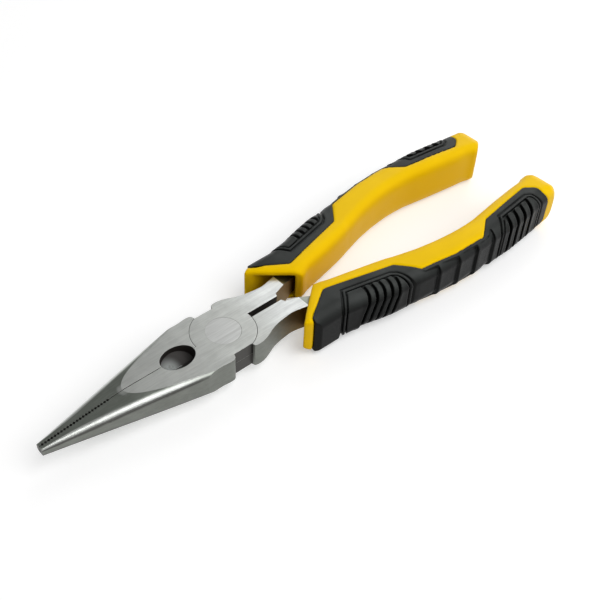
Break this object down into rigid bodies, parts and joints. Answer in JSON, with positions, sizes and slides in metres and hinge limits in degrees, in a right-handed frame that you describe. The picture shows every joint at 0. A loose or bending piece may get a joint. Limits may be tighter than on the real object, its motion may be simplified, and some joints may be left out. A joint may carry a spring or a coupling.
{
  "type": "needle nose pliers",
  "caption": "Long nose pliers with a lap joint, serrated tips, side cutters in an oval pocket and two-material curved grips.",
  "frame": {"origin": "where the pivot axis meets the flat ground underside of the head", "axes": "+X along the shut jaws to their tips, +Y to the left jaw, +Z along the pivot axis out of the upper face"},
  "size_m": [0.1992, 0.052, 0.0172],
  "materials": {
    "forging": "ground flats with fine brushing, satin forged sides",
    "rivet": "ground flush with the flats",
    "sleeve": "satin yellow moulded plastic",
    "cover": "soft matt black moulded elastomer"
  },
  "bodies": {
    "left_jaw_body": {"left_jaw_half": "forging", "pivot_rivet": "rivet", "right_grip_sleeve": "sleeve", "right_grip_cover": "cover"},
    "right_jaw_body": {"right_jaw_half": "forging", "left_grip_sleeve": "sleeve", "left_grip_cover": "cover"}
  },
  "joints": [
    {"name": "pivot", "type": "hinge", "parent": "left_jaw_body", "child": "right_jaw_body", "pos_m": [0, 0, 0], "axis": [0, 0, -1], "range_deg": [0, 36]}
  ]
}
